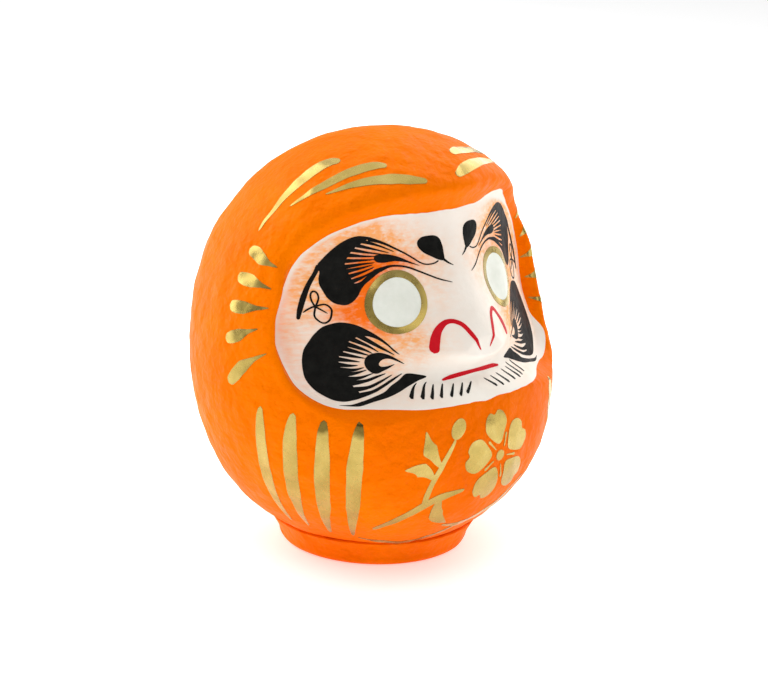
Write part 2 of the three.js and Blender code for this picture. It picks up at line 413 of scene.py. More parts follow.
def cover_piece():
    """The paper disc under the foot, a little wrinkled where the glue drew it in."""
    radii = np.linspace(0.4, COVER_RADIUS, 40)
    segments = 160
    angles = np.linspace(0, 2 * math.pi, segments, endpoint=False)
    lower = np.stack([radii[:, None] * np.cos(angles), radii[:, None] * np.sin(angles)], -1)
    flat = np.concatenate([lower, np.zeros(lower.shape[:2] + (1,))], -1)
    crease = 0.5 + 0.5 * waves(flat, 11, PAPER_SEED + 6)
    rise = np.clip(crease, 0, 1) * 0.35 * smoothstep(COVER_RADIUS, COVER_RADIUS - 3, radii)[:, None]
    bottom = flat + rise[..., None] * np.array([0, 0, 1.0])
    top = flat + np.array([0, 0, COVER_THICKNESS])
    grid = np.concatenate([bottom, top[::-1]])
    rows = grid.shape[0]
    points = np.concatenate([grid.reshape(-1, 3), [bottom[0].mean(0)], [[0, 0, COVER_THICKNESS]]])
    faces = grid_faces(rows, segments, closed=True).tolist()
    last = rows * segments
    for j in range(segments):
        k = (j + 1) % segments
        faces.append([k, j, last])
        faces.append([(rows - 1) * segments + j, (rows - 1) * segments + k, last + 1])
    return build_mesh("bottom_paper_disc", points, faces, sharp_angle=50)


# ---------------------------------------------------------------- painted marks

BURIED = -0.6        # the underside of a paint layer lies this far inside the shell
FACE_LIFT = 0.10
FACE_EDGE_THINNER = 0.06
MARK_LIFT = 0.18
STRAND_LIFT = 0.20
EYE_LIFT = 0.17
RING_LIFT = 0.24
GOLD_LIFT = 0.13
TOP_MARK_LIFT = 0.22


def arc_lengths(points):
    """Distance along a row of points, from the first."""
    return np.concatenate([[0], np.cumsum(np.linalg.norm(np.diff(points, axis=0), axis=1))])


def spline(points, spacing, closed=False):
    """Points along a Catmull-Rom curve, spaced evenly in the curve's own units, with their parameter."""
    points = np.asarray(points, float)
    count = len(points)
    if closed:
        padded = np.concatenate([points[-1:], points, points[:2]])
        spans = count
    else:
        padded = np.concatenate([2 * points[:1] - points[1:2], points, 2 * points[-1:] - points[-2:-1]])
        spans = count - 1
    t = np.linspace(0, 1, 24, endpoint=False)[:, None]
    curve = []
    for i in range(spans):
        a, b, c, d = padded[i:i + 4]
        curve.append(0.5 * (2 * b + (c - a) * t + (2 * a - 5 * b + 4 * c - d) * t ** 2
                            + (3 * b - a - 3 * c + d) * t ** 3))
    curve = np.concatenate(curve + [points[:1] if closed else points[-1:]])
    parameter = np.arange(len(curve)) / 24
    lengths = arc_lengths(curve)
    samples = max(4, int(round(lengths[-1] / spacing)) + 1)
    wanted = np.linspace(0, lengths[-1], samples, endpoint=not closed)
    even = np.stack([np.interp(wanted, lengths, values) for values in curve.T], -1)
    return even, np.interp(wanted, lengths, parameter)


def coat(directions, lift, faces, boundary):
    """A coat of paint: a patch of the surface, a buried copy of it and a wall round its boundary."""
    count = len(directions)
    points = np.concatenate([surface(directions, lift), surface(directions, BURIED)])
    solid = [list(face) for face in faces]
    solid += [[index + count for index in reversed(face)] for face in faces]
    for a, b in zip(boundary, boundary[1:] + boundary[:1]):
        solid.append([b, a, a + count, b + count])
    return points, solid


def patch(outline, lift, chart=from_front, spacing=0.45, inner_spacing=0.9):
    """A filled mark from its outline in a chart: front view (x, z), or body degrees."""
    edge, _ = spline(outline, spacing, closed=True)
    area = np.sum(edge[:, 0] * np.roll(edge[:, 1], -1) - np.roll(edge[:, 0], -1) * edge[:, 1])
    if area < 0:
        edge = edge[::-1]
    low, high = edge.min(0), edge.max(0)
    xs = np.arange(low[0], high[0], inner_spacing)
    zs = np.arange(low[1], high[1], inner_spacing)
    inner = np.stack(np.meshgrid(xs, zs, indexing="ij"), -1).reshape(-1, 2)
    after = np.roll(edge, -1, axis=0)
    inside = np.zeros(len(inner), bool)
    nearest = np.full(len(inner), 1e9)
    for start, end in zip(edge, after):
        crosses = (start[1] > inner[:, 1]) != (end[1] > inner[:, 1])
        at = (end[0] - start[0]) * (inner[:, 1] - start[1]) / (end[1] - start[1] + 1e-12) + start[0]
        inside ^= crosses & (inner[:, 0] < at)
        nearest = np.minimum(nearest, np.hypot(inner[:, 0] - start[0], inner[:, 1] - start[1]))
    inner = inner[inside & (nearest > 0.4 * inner_spacing)]
    flat = np.concatenate([edge, inner])
    count = len(edge)
    borders = [(i, (i + 1) % count) for i in range(count)]
    verts, _, faces, origin, _, _ = delaunay_2d_cdt([Vector(p) for p in flat], borders, [], 1, 1e-6)
    verts = np.array([tuple(v) for v in verts])
    where = {}
    for new, olds in enumerate(origin):
        for old in olds:
            where[old] = new
    return coat(chart(verts[:, 0], verts[:, 1]), lift, faces, [where[i] for i in range(count)])


def ribbon_outline(widths, parameter, arc, roughness, seed):
    """Half-widths along a stroke: interpolated, with round ends and a slightly rough edge."""
    half = np.interp(parameter, np.arange(len(widths)), widths)
    start = max(half[0], 0.05)
    end = max(half[-1], 0.05)
    length = arc[-1]
    cap = np.sqrt(np.clip(1 - (1 - np.clip(arc / start, 0, 1)) ** 2, 0, 1))
    cap *= np.sqrt(np.clip(1 - (1 - np.clip((length - arc) / end, 0, 1)) ** 2, 0, 1))
    half = np.maximum(half * cap, 0.02)
    line = np.stack([arc, np.zeros_like(arc), np.zeros_like(arc)], -1)
    left = half * (1 + roughness * waves(line, 7.0, seed))
    right = half * (1 + roughness * waves(line, 6.0, seed + 1))
    return left, right


def ribbon(path, widths, lift, chart=from_front, spacing=0.5, roughness=0.0, seed=1):
    """A brush stroke along a path in a chart; widths are half-widths at the path's points."""
    middle, parameter = spline(path, spacing)
    if chart is from_angles:
        theta, phi = np.radians(middle).T
        middle = to_direction(theta, phi) * envelope_radius(theta, phi)[:, None]
    left, right = ribbon_outline(widths, parameter, arc_lengths(middle), roughness, seed)
    lanes = max(1, int(math.ceil(max(widths) / 0.6)))
    share = np.linspace(-1, 1, 2 * lanes + 1)
    offsets = np.where(share < 0, left[:, None] * share, right[:, None] * share)
    tangent = unit(np.gradient(middle, axis=0))
    if chart is from_angles:
        across = unit(np.cross(unit(middle), tangent))
    else:
        across = np.stack([-tangent[:, 1], tangent[:, 0]], -1)
    spread = middle[:, None, :] + across[:, None, :] * offsets[..., None]
    directions = unit(spread) if chart is from_angles else chart(spread[..., 0], spread[..., 1])
    rows, columns = offsets.shape
    boundary = list(range(columns)) + [i * columns + columns - 1 for i in range(1, rows)]
    boundary += [(rows - 1) * columns + j for j in range(columns - 2, -1, -1)]
    boundary += [i * columns for i in range(rows - 2, 0, -1)]
    return coat(directions.reshape(-1, 3), lift, grid_faces(rows, columns).tolist(), boundary)


def ellipse(centre, long_half, short_half, lean, count):
    """Points of an ellipse whose long axis leans away from upright, towards -x at its top."""
    angle = np.linspace(0, 2 * math.pi, count, endpoint=False)
    across = short_half * np.cos(angle)
    up = long_half * np.sin(angle)
    c, s = math.cos(lean), math.sin(lean)
    return np.stack([centre[0] + across * c - up * s, centre[1] + across * s + up * c], -1)


def ring_patch(outer, inner, lift, lanes=4):
    """A closed band between two outlines with the same number of points."""
    share = np.linspace(0, 1, lanes + 1)[:, None, None]
    grid = inner[None] * (1 - share) + outer[None] * share
    directions = from_front(grid[..., 0], grid[..., 1])
    swell = 0.05 * np.sin(np.pi * share[..., 0])
    loop = np.concatenate([surface(directions, lift + swell), surface(directions, BURIED)[::-1]])
    rows, columns = loop.shape[:2]
    quads = grid_faces(rows + 1, columns, closed=True) % (rows * columns)
    return loop.reshape(-1, 3), quads.tolist()


def joined(name, parts, material):
    """One piece from several closed parts, each turned to face outwards."""
    points = []
    faces = []
    for part_points, part_faces in parts:
        start = sum(len(p) for p in points)
        points.append(part_points)
        faces.extend([[index + start for index in face] for face in part_faces])
    piece = build_mesh(name, np.concatenate(points), faces)
    mesh = bmesh.new()
    mesh.from_mesh(piece.data)
    finish_mesh(mesh, piece, 40)
    return finish_piece(piece, material)


# ---------------------------------------------------------------- materials

class Graph:
    """A short way to write a material's nodes."""

    def __init__(self, name):
        self.material = bpy.data.materials.new(name)
        self.material.use_nodes = True
        self.tree = self.material.node_tree
        self.shader = self.tree.nodes["Principled BSDF"]

    def add(self, kind, inputs=None, **settings):
        node = self.tree.nodes.new("ShaderNode" + kind)
        for key, value in settings.items():
            setattr(node, key, value)
        for key, value in (inputs or {}).items():
            self.put(node.inputs[key], value)
        return node

    def put(self, socket, value):
        if isinstance(value, bpy.types.NodeSocket):
            self.tree.links.new(value, socket)
        else:
            socket.default_value = value

    def math(self, operation, a, b=0.0):
        return self.add("Math", {0: a, 1: b}, operation=operation).outputs[0]

    def times(self, a, b):
        return self.math("MULTIPLY", a, b)

    def position(self):
        return self.add("TexCoord").outputs["Object"]

    def along_axis(self, axis):
        """One of the position's three values."""
        return self.add("SeparateXYZ", {0: self.position()}).outputs[axis]

    def noise(self, scale, detail=3.0, roughness=0.55, vector=None):
        inputs = {"Scale": scale, "Detail": detail, "Roughness": roughness}
        return self.add("TexNoise", {"Vector": vector or self.position(), **inputs}).outputs["Fac"]

    def ramp(self, factor, stops):
        node = self.add("ValToRGB", {"Fac": factor})
        elements = node.color_ramp.elements
        while len(elements) < len(stops):
            elements.new(0.5)
        for element, (place, colour) in zip(elements, stops):
            element.position = place
            element.color = (*colour, 1)
        return node.outputs["Color"]

    def remap(self, value, low, high, to_low=0.0, to_high=1.0):
        inputs = {"Value": value, "From Min": low, "From Max": high, "To Min": to_low, "To Max": to_high}
        return self.add("MapRange", inputs).outputs["Result"]

    def mix(self, factor, a, b):
        node = self.add("Mix", data_type="RGBA")
        self.put(node.inputs[0], factor)
        self.put(node.inputs[6], a)
        self.put(node.inputs[7], b)
        return node.outputs[2]

    def around(self, sideways, upwards):
        """Position drawn out round the body: its angle and its height, each scaled."""
        angle = self.math("ARCTAN2", self.along_axis(0), self.times(self.along_axis(1), -1.0))
        angle = self.times(angle, sideways)
        height = self.times(self.along_axis(2), upwards)
        return self.add("CombineXYZ", {0: angle, 1: height, 2: 0.0}).outputs[0]

    def bump(self, height, strength, distance_mm, below=None):
        inputs = {"Height": height, "Strength": strength, "Distance": distance_mm * MM}
        node = self.add("Bump", inputs)
        if below is not None:
            self.put(node.inputs["Normal"], below)
        return node.outputs["Normal"]

    def surface(self, colour, roughness, normal=None, **fixed):
        """The finished material; the fixed values are named as the shader's sockets are."""
        self.put(self.shader.inputs["Base Color"], colour)
        self.put(self.shader.inputs["Roughness"], roughness)
        if normal is not None:
            self.put(self.shader.inputs["Normal"], normal)
        for key, value in fixed.items():
            self.shader.inputs[key.replace("_", " ")].default_value = value
        return self.material


def paper_bump(graph, strength=1.0):
    """The surface of hand-laid painted paper: dents, creases, brush marks and fibres."""
    creases = graph.noise(170.0, 4.0, 0.55)
    brushing = graph.noise(1.0, 4.0, 0.6, graph.around(26.0, 1500.0))
    fibres = graph.noise(1500.0, 3.0, 0.6)
    normal = graph.bump(graph.noise(75.0, 3.0, 0.5), 0.9 * strength, 1.6)
    normal = graph.bump(creases, 0.9 * strength, 1.0, normal)
    normal = graph.bump(brushing, 0.25 * strength, 0.05, normal)
    return graph.bump(fibres, 0.3 * strength, 0.03, normal)


def orange_paint():
    """Thin orange over paper: patchy, streaked round the body, and darkened towards the front as painted
    shade where the belly and the brow of the hood turn away from the light.
    """
    graph = Graph("orange_paint")
    patches = graph.noise(28.0, 4.0, 0.55)
    colour = graph.ramp(patches, [
        (0.3, (0.91, 0.152, 0.0)), (0.5, (0.96, 0.176, 0.0)), (0.72, (1.0, 0.208, 0.0))])
    streaks = graph.noise(1.0, 4.0, 0.6, graph.around(14.0, 700.0))
    colour = graph.mix(graph.remap(streaks, 0.45, 0.8, 0.0, 0.35), colour, (0.86, 0.125, 0.0, 1))
    # Painted shade: a darker orange mixed in towards the front, for the belly and hood brow that face away
    # from the light.
    front = graph.remap(graph.along_axis(1), -0.060, -0.040, 0.6, 0.0)
    colour = graph.mix(front, colour, (0.82, 0.112, 0.0, 1))
    speckle = graph.remap(graph.noise(420.0, 3.0, 0.6), 0.66, 0.78, 0.0, 0.3)
    colour = graph.mix(speckle, colour, (1.0, 0.20, 0.004, 1))
    roughness = graph.remap(graph.noise(160.0, 3.0), 0.3, 0.7, 0.42, 0.55)
    return graph.surface(
        colour, roughness, paper_bump(graph, 1.5), IOR=1.2, Specular_IOR_Level=0.2,
        Specular_Tint=(1.0, 0.42, 0.0, 1))


def face_paint():
    """Cream paint with orange dry-brushed over it where the tint attribute says."""
    graph = Graph("face_paint")
    tint = graph.add("Attribute", attribute_name="tint").outputs["Fac"]
    deep = graph.add("Attribute", attribute_name="deep_tint").outputs["Fac"]
    cloud = graph.noise(140.0, 4.0, 0.6)
    strokes = graph.noise(1.0, 5.0, 0.65, graph.around(14.0, 700.0))
    broken = graph.remap(strokes, 0.32, 0.66, 0.3, 1.3)
    broken = graph.times(broken, graph.remap(cloud, 0.3, 0.7, 0.6, 1.3))
    cover = graph.math("MINIMUM", graph.times(tint, broken), 1.0)
    cream = graph.ramp(graph.noise(60.0, 3.0), [(0.3, (0.89, 0.82, 0.73)), (0.7, (0.96, 0.91, 0.83))])
    colour = graph.mix(cover, cream, (1.0, 0.44, 0.15, 1))
    brushed = graph.remap(strokes, 0.3, 0.6, 0.75, 1.35)
    full = graph.math("MINIMUM", graph.times(deep, brushed), 1.0)
    colour = graph.mix(full, colour, (1.0, 0.165, 0.0, 1))
    roughness = graph.remap(graph.noise(200.0), 0.3, 0.7, 0.5, 0.62)
    return graph.surface(colour, roughness, paper_bump(graph, 0.4), IOR=1.45, Specular_IOR_Level=0.2)


def gold_paint(name="gold_paint", painted_dark_reflection=False, tone=1.0):
    """Leafy metallic gold. Tone scales its colours, and below 1 gives a copy darkened as painted shade. The
    painted dark reflection darkens the tops of the two front strokes on the doll's right, where the gold
    mirrors dark surroundings.
    """
    graph = Graph(name)
    sheen = graph.noise(70.0, 4.0, 0.6)
    stops = [(0.3, (0.38, 0.275, 0.065)), (0.55, (0.49, 0.36, 0.10)), (0.75, (0.58, 0.455, 0.15))]
    # Tone below 1 darkens the whole ramp: a copy of the gold with painted shade.
    colour = graph.ramp(sheen, [(place, tuple(tone * value for value in stop)) for place, stop in stops])
    if painted_dark_reflection:
        # Painted dark reflection: dark brown mixed into the tops of the two front belly strokes on the
        # doll's right, standing for dark surroundings mirrored in the gold.
        wander = graph.times(graph.math("SUBTRACT", graph.noise(120.0, 3.0), 0.5), 0.008)
        height = graph.math("ADD", graph.along_axis(2), wander)
        dark_reflection_mask = graph.remap(height, 0.0560, 0.0585, 0.0, 0.85)
        across = graph.along_axis(0)
        dark_reflection_mask = graph.times(dark_reflection_mask, graph.remap(across, -0.0605, -0.0580))
        dark_reflection_mask = graph.times(dark_reflection_mask, graph.remap(across, -0.02, -0.01, 1.0, 0.0))
        colour = graph.mix(dark_reflection_mask, colour, (0.10, 0.066, 0.010, 1))
    roughness = graph.remap(graph.noise(300.0, 3.0), 0.3, 0.7, 0.2, 0.34)
    normal = graph.bump(graph.noise(90.0, 3.0, 0.5), 0.4, 0.5)
    normal = graph.bump(graph.noise(1.0, 4.0, 0.6, graph.around(40.0, 900.0)), 0.3, 0.1, normal)
    normal = graph.bump(graph.noise(2300.0, 2.0, 0.7), 0.5, 0.05, normal)
    return graph.surface(colour, roughness, normal, Metallic=0.92)


def flat_paint(name, dark, light, low_roughness, high_roughness, gloss, strength=0.5):
    """A brushed coat of one colour, thicker and thinner along the brush."""
    graph = Graph(name)
    brushing = graph.noise(1.0, 4.0, 0.6, graph.around(20.0, 420.0))
    mottle = graph.times(graph.noise(180.0, 4.0, 0.6), 0.5)
    factor = graph.math("ADD", mottle, graph.times(brushing, 0.5))
    colour = graph.ramp(factor, [(0.35, dark), (0.65, light)])
    roughness = graph.remap(graph.noise(240.0), 0.3, 0.7, low_roughness, high_roughness)
    return graph.surface(colour, roughness, paper_bump(graph, strength), IOR=1.45, Specular_IOR_Level=gloss)


def fibre_paper():
    """Plain unpainted paper with fibres and darker flecks."""
    graph = Graph("plain_paper")
    fibres = graph.noise(700.0, 5.0, 0.7)
    colour = graph.ramp(fibres, [(0.3, (0.50, 0.43, 0.31)), (0.7, (0.70, 0.64, 0.50))])
    flecks = graph.remap(graph.noise(1400.0, 2.0), 0.68, 0.74, 0.0, 0.6)
    colour = graph.mix(flecks, colour, (0.25, 0.19, 0.12, 1))
    normal = graph.bump(fibres, 0.5, 0.12)
    return graph.surface(colour, graph.remap(fibres, 0.3, 0.7, 0.8, 0.95), normal)


def dry_clay():
    """Unfired clay, grainy and pitted."""
    graph = Graph("dry_clay")
    grains = graph.noise(500.0, 6.0, 0.7)
    colour = graph.ramp(grains, [(0.3, (0.22, 0.15, 0.09)), (0.7, (0.40, 0.30, 0.19))])
    pits = graph.remap(graph.noise(900.0, 2.0), 0.3, 0.45)
    normal = graph.bump(graph.times(grains, pits), 0.7, 0.3)
    return graph.surface(colour, graph.remap(grains, 0.3, 0.7, 0.85, 1.0), normal)


# ---------------------------------------------------------------- the face

# Each outline is an ellipse: its centre in the front view, its half-axes and its lean in degrees.
EYES = {
    "right": {"ring": ((-24.0, 97.0), 10.85, 9.1, -45), "white": ((-23.8, 96.9), 8.55, 7.2, -52)},
    "left": {"ring": ((25.4, 97.8), 11.2, 9.4, 52), "white": ((25.1, 97.9), 8.2, 7.0, 35)}}
SIDES = (("right", -1), ("left", 1))   # the doll's own right and left


def add_tint(piece):
    """Stores how strongly the orange is brushed over the cream, by place on the face."""
    co = np.empty(len(piece.data.vertices) * 3)
    piece.data.vertices.foreach_get("co", co)
    x, _, z = (co.reshape(-1, 3) / MM).T
    left = smoothstep(-4, 8, x)
    x = np.abs(x)

    def spot(cx, cz, rx, rz):
        return np.exp(-((x - cx) / rx) ** 2 - ((z - cz) / rz) ** 2)

    tint = 0.95 * spot(34, 118, 15, 8) + 0.9 * spot(46, 106, 8, 12) + 0.8 * spot(24, 112, 15, 6)
    tint += 0.75 * spot(26, 85, 11, 6) + 0.8 * spot(35, 94, 9, 9) + 0.3 * spot(56, 84, 4, 12)
    tint += 0.35 * spot(12, 104, 6, 10) + 0.35 * spot(34, 78, 9, 7) + 0.25 * spot(53, 96, 5, 12)
    deep = 1.1 * spot(32, 99, 4.5, 8) + 0.9 * spot(30, 109, 7.5, 4.5) + 0.75 * spot(38, 93.5, 5.5, 4.5)
    deep += 0.55 * spot(20, 109.5, 6, 2.5) + 0.5 * spot(29, 89, 5, 3)
    tint = 1.05 * tint + 0.16 * smoothstep(12, 30, x)
    border = smoothstep(0.3, 2.2, -face_edge(x, z))
    for name, values in (("tint", tint * border), ("deep_tint", deep * border * (1 - 0.8 * left))):
        attribute = piece.data.attributes.new(name, "FLOAT", "POINT")
        attribute.data.foreach_set("value", np.clip(values, 0, 1))


def start_like(loop, other):
    """Turns a closed outline's numbering so that it starts nearest the other's first point."""
    first = np.argmin(np.linalg.norm(loop - loop.mean(0) - (other[0] - other.mean(0)), axis=1))
    return np.roll(loop, -first, axis=0)


def panel_edge(x, z):
    """The painted outline: the face's own, but on the doll's left higher, narrower and lower."""
    higher = 3.2 * np.exp(-((x - 31) / 10) ** 2) * smoothstep(105, 122, z)
    wider = 1.7 * smoothstep(76, 70, z) - 1.3 * np.exp(-((z - 81) / 6) ** 2)
    return face_edge(x - wider * smoothstep(35, 48, x), z - higher)


def face_panel(material):
    """The cream face, a thin coat whose edge wanders a little."""
    columns = 360
    rows = 66
    turn = np.linspace(0, 2 * math.pi, columns, endpoint=False)
    out = np.stack([np.sin(turn), np.cos(turn)], -1)
    middle_point = np.array([0, FACE_MIDDLE_Z])

    def inside(reach):
        places = middle_point + out * reach[:, None]
        return panel_edge(places[:, 0], places[:, 1]) < -0.15

    ring = np.stack([np.cos(turn), np.sin(turn), 0 * turn], -1) * 40
    reach = bisect(np.zeros(columns), np.full(columns, 80.0), inside)
    reach += 0.16 * waves(ring, 13, PAPER_SEED + 7) + 0.07 * waves(ring, 4, PAPER_SEED + 8)
    share = np.linspace(1 / rows, 1, rows)
    grid = middle_point + out[None] * (reach[None] * share[:, None])[..., None]
    places = np.concatenate([grid.reshape(-1, 2), [middle_point]])
    lift = np.full(len(places), FACE_LIFT)
    lift[-1 - columns:-1] -= FACE_EDGE_THINNER
    faces = grid_faces(rows, columns, closed=True).tolist()
    faces += [[(j + 1) % columns, j, rows * columns] for j in range(columns)]
    boundary = [(rows - 1) * columns + j for j in range(columns)]
    panel = coat(from_front(places[:, 0], places[:, 1]), lift, faces, boundary)
    add_tint(joined("face_paint_panel", [panel], material))


# Marks are outlines, or paths with half-widths, in the front view (x, z), given for both sides.

BROW_MASS = [
    (45, 109.5), (43.9, 111), (42.2, 112.9), (40, 115), (37.7, 116.8), (35.2, 118.1), (32.7, 118.7),
    (30, 118.4), (28.6, 117.9), (30.6, 117.2), (31.8, 116.2), (33.2, 115.5), (34.4, 114.2), (35.5, 113),
    (36.5, 111.3), (37.2, 109.5), (36.9, 107.9), (36.5, 106.4), (36, 104.7), (35.5, 103.4), (33.7, 103.9),
    (31.7, 105.5), (29.1, 107.5), (26.2, 108.2), (26, 107.5), (28.4, 106.1), (30.9, 104.4), (32.7, 103),
    (34, 101.4), (35.2, 99.3), (36.7, 97.5), (38.2, 96.5), (39.7, 96.4), (41.6, 97), (43.1, 98.5),
    (44.1, 100.6), (45, 103.1), (45, 105.2), (44.6, 107.2)]
BROW_TAIL = [(44.5, 109.6), (46, 106.6), (48.1, 103), (49.9, 98.8), (51.2, 94.9), (52, 91.7)]
BROW_TAIL_WIDTHS = [0.75, 0.6, 0.7, 0.85, 0.75, 0.45]
BROW_TOP_LINE = [
    (30, 117.7), (26.8, 116.7), (24.3, 115.6), (21.4, 114), (18.3, 112.2), (15.7, 110.4), (14, 109.1),
    (12.4, 108.4), (10.8, 108.3), (9.1, 108.6), (7.6, 109.3)]
BROW_TOP_WIDTHS = [0.75, 0.5, 0.38, 0.3, 0.27, 0.25, 0.23, 0.2, 0.2, 0.2, 0.2]
BROW_LOWER_LINE = [
    (27.8, 107.2), (25.6, 107.9), (23.3, 108.4), (20.3, 108.2), (17.5, 107.5), (14.6, 106.2), (11.3, 104.6),
    (8.6, 103.4), (5, 102.3)]
BROW_LOWER_WIDTHS = [0.75, 0.5, 0.35, 0.3, 0.3, 0.28, 0.25, 0.22, 0.08]
BROW_HEART = [
    (28.2, 111.9), (28.5, 110.8), (27.7, 109.9), (25.7, 109.6), (21.8, 109.9), (18.7, 109.4), (16.4, 108.7),
    (14.1, 108), (16.5, 109.2), (19.8, 110.9), (22.5, 111.9), (25, 112.4), (27.2, 112.3)]
BROW_STRANDS = [
    [(31.8, 117), (27, 115.4), (21.8, 113)],
    [(33.6, 115.7), (28.7, 114.3), (23.4, 112.7)],
    [(34.8, 114.2), (30.5, 113.2), (25.4, 112.3)],
    [(35.9, 112.5), (31.7, 112), (27.6, 111.8)],
    [(37, 110.6), (32.2, 110.7), (28.2, 110.8)],
    [(37.2, 108.7), (32.6, 109.4), (28.5, 109.8)],
    [(36.9, 107.3), (32.8, 108.2), (29.2, 109.1)],
    [(36.4, 105.6), (32.7, 106.9), (28.8, 108.4)],
    [(36, 104), (32.5, 105.5), (28.4, 107.6)]]
BROW_DOT = [
    (14.1, 115), (13.7, 116.2), (12.3, 117.2), (9.8, 117.5), (7.5, 117.3), (5.8, 116.2), (5.1, 113.9),
    (5.1, 111.6), (5.4, 109.4), (6.4, 109.2), (8, 109.7), (10, 110.8), (12.1, 112), (13.5, 113.5)]
BROW_DOT_TAIL = [(5.9, 109.7), (4.4, 108.4), (2.5, 107.3)]

CHEEK_MASS = [
    (26.6, 80.5), (28, 82.3), (29.9, 84.8), (32.2, 87), (34.4, 88.6), (36.4, 89.8), (38.5, 90.5),
    (41, 90.8), (43.5, 90.3), (46, 89.3), (48.3, 87.2), (50.3, 84.6), (52, 82.1), (53.1, 79.2),
    (53.7, 76.1), (53.7, 72.9), (52.1, 69.7), (49.9, 67.8), (47.9, 66.6), (45.4, 66.1), (42.7, 66.4),
    (40.2, 67.1), (39.7, 68.1), (41.2, 70.3), (41.5, 72.3), (42.4, 73.8), (42.6, 75.2), (43.5, 76.6),
    (43.6, 78.3), (43.2, 79.9), (41.6, 81.6), (40, 83.1), (39.5, 84.7), (37.2, 86), (34.6, 86.4),
    (31.9, 85.4), (29.5, 83.4), (28.1, 81.6)]
CHEEK_STRANDS = [
    [(36.6, 86.6), (31.4, 82.8), (28, 80.4)],
    [(38.6, 85.4), (34.9, 83.4), (32.1, 81.3)],
    [(39.9, 83.8), (36.3, 82.3), (33.7, 80.8)],
    [(41, 82.4), (37.5, 81.2), (34.7, 80.2)],
    [(42.7, 80.9), (39, 80), (36, 79.3)],
    [(43.7, 79.2), (40.6, 78.7), (37.6, 78.2)],
    [(43.9, 77.5), (41, 77.1), (38.4, 77.1)],
    [(43.2, 75.8), (40, 75.7), (36.8, 76.4)],
    [(42.8, 74.4), (39.6, 74.7), (36.2, 75.6)],
    [(42.4, 73), (38.9, 73.2), (34.5, 74.5)],
    [(41.9, 71.6), (37.4, 72.2), (33.9, 73.3), (30.9, 74.3)],
    [(41.4, 69.7), (37.2, 70.2), (33.1, 71.8), (29.1, 73.8)],
    [(40.5, 67.8), (36.4, 68.8), (33, 70.3), (29.6, 72.1), (26, 74.1)]]
CHEEK_WEDGE = [
    (47.4, 65.2), (43.8, 65.3), (39.7, 66.2), (36.1, 67.4), (32.8, 68.7), (30.2, 70.5), (27.4, 72.1),
    (25.4, 73.7), (24.2, 74), (22.1, 73.7), (18.5, 72.6), (21.7, 71.4), (25, 70), (28.6, 68.5),
    (32.7, 67.1), (37, 66), (41.3, 65), (44.1, 64.9)]
CHEEK_PUPIL = [
    (36.5, 77.6), (36, 79.3), (34.7, 80.5), (32.6, 81.1), (30.8, 80.9), (28.5, 79.8), (25.2, 77.3),
    (27.4, 78.3), (28.9, 79), (30.3, 79.2), (31.6, 78.7), (32.4, 77.7), (32.4, 76.9), (31.6, 76.5),
    (29.9, 76.7), (28, 77.3), (29.6, 76.1), (31.4, 75.2), (33.1, 74.4), (34.6, 74.5), (36, 75.8)]

TEMPLE_CURL = [
    (50.5, 94), (49.3, 94.9), (47.9, 95.7), (47, 96), (45.6, 96.4), (44.4, 96.6), (43.4, 96.2),
    (42.6, 95), (42.7, 93.8), (43.3, 92), (44.2, 91), (45.2, 90.6), (46.2, 91), (47.2, 92.1),
    (47.5, 93.2), (47.2, 94.6), (46.8, 96), (46.2, 97.2), (45.7, 98.6), (45.8, 100), (46.4, 100.8),
    (47.2, 100.8), (47.8, 99.8), (47.8, 98.4), (47.4, 97), (46.8, 95.9), (45.6, 95), (43.8, 93.7)]

NOSTRIL = [
    (2.1, 80.9), (3.5, 83.4), (5, 86.3), (6.7, 89.2), (8.4, 90.4), (10.2, 90.7), (12.1, 90),
    (14.4, 87.8), (16, 85.1), (17, 82.6), (17.4, 80.9)]
NOSTRIL_WIDTHS = [0.15, 0.5, 0.75, 0.75, 0.7, 0.65, 0.7, 0.95, 1.25, 1.35, 1.1]
MOUTH = [(-13.6, 70.9), (-10, 71.6), (-5, 72.1), (0, 72.3), (5, 72.2), (10, 71.9), (13.6, 71.2)]
MOUTH_WIDTHS = [0.3, 0.7, 0.75, 0.65, 0.75, 0.7, 0.3]
WHISKERS = [
    [(2.9, 69.4), (8, 66.9)], [(6.6, 69.5), (11.1, 66.6)], [(10.1, 69.6), (14.7, 66.7)],
    [(13.9, 69.9), (18.4, 66.8)], [(17.1, 70), (21.7, 66.7)], [(18.9, 70.9), (24.4, 66.8)],
    [(22.2, 70.8), (27.3, 66.9)]]
LEFT_WHISKER_SHARE = 0.68    # the left side's whiskers slant less


def on_side(points, side):
    """Mirrors a mark for the doll's right; on its left the painter set the brow and eye higher."""
    placed = np.array(points, float)
    if side > 0:
        placed[:, 1] += 0.7 * smoothstep(74, 84, placed[:, 1]) + 1.7 * smoothstep(86, 108, placed[:, 1])
    placed[:, 0] *= side
    return placed


def rooted(path, reach=1.3):
    """A strand's path started a little earlier, inside the mass it grows from."""
    first, second = np.array(path[0]), np.array(path[1])
    root = first + reach * (first - second) / np.linalg.norm(first - second)
    return [tuple(root), *path[1:]]


def strands(paths, side, widths):
    return [ribbon(on_side(rooted(path), side), widths, STRAND_LIFT, spacing=0.4) for path in paths]


